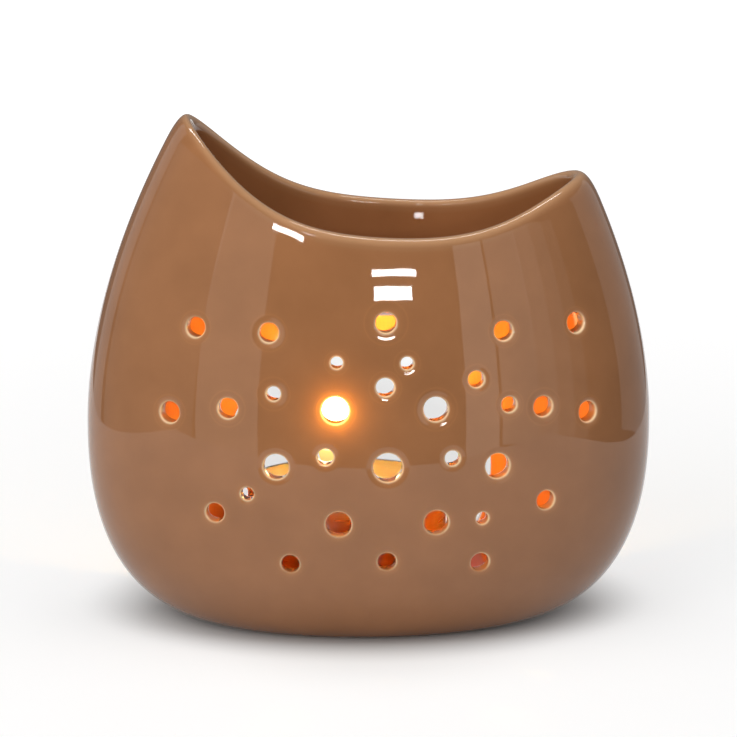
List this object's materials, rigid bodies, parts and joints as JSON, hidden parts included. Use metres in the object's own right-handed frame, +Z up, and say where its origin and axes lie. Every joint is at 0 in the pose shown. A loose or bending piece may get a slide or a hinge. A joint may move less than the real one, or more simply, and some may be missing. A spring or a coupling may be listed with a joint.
{
  "type": "essential oil burner",
  "caption": "Oval glazed ceramic oil burner with a saddle rim, a bowl in its mouth, round light holes in front and a tealight that goes in through a door at the back.",
  "frame": {"origin": "on the table under the middle of the foot", "axes": "+Z up, -Y towards the front with the light holes, +Y out of the candle door, +X to the right seen from the front"},
  "size_m": [0.1108, 0.0592, 0.1009],
  "materials": {
    "brown_glaze": "gloss glaze on fired ceramic, opaque taupe brown",
    "bowl_glaze": "gloss glaze on fired ceramic, opaque taupe brown",
    "cup_metal": "thin drawn aluminium, satin",
    "candle_wax": "white paraffin wax",
    "sustainer_metal": "plain tinplate",
    "wick_cotton": "waxed cotton, charred at the tip"
  },
  "bodies": {
    "burner": {"burner_body": "brown_glaze", "oil_bowl": "bowl_glaze"},
    "tealight": {"tealight_cup": "cup_metal", "tealight_wax": "candle_wax", "wick_sustainer": "sustainer_metal", "wick": "wick_cotton"}
  },
  "joints": [
    {"name": "tealight_slide", "type": "slide", "parent": "burner", "child": "tealight", "axis": [0, 1, 0], "range_m": [0, 0.09]}
  ]
}
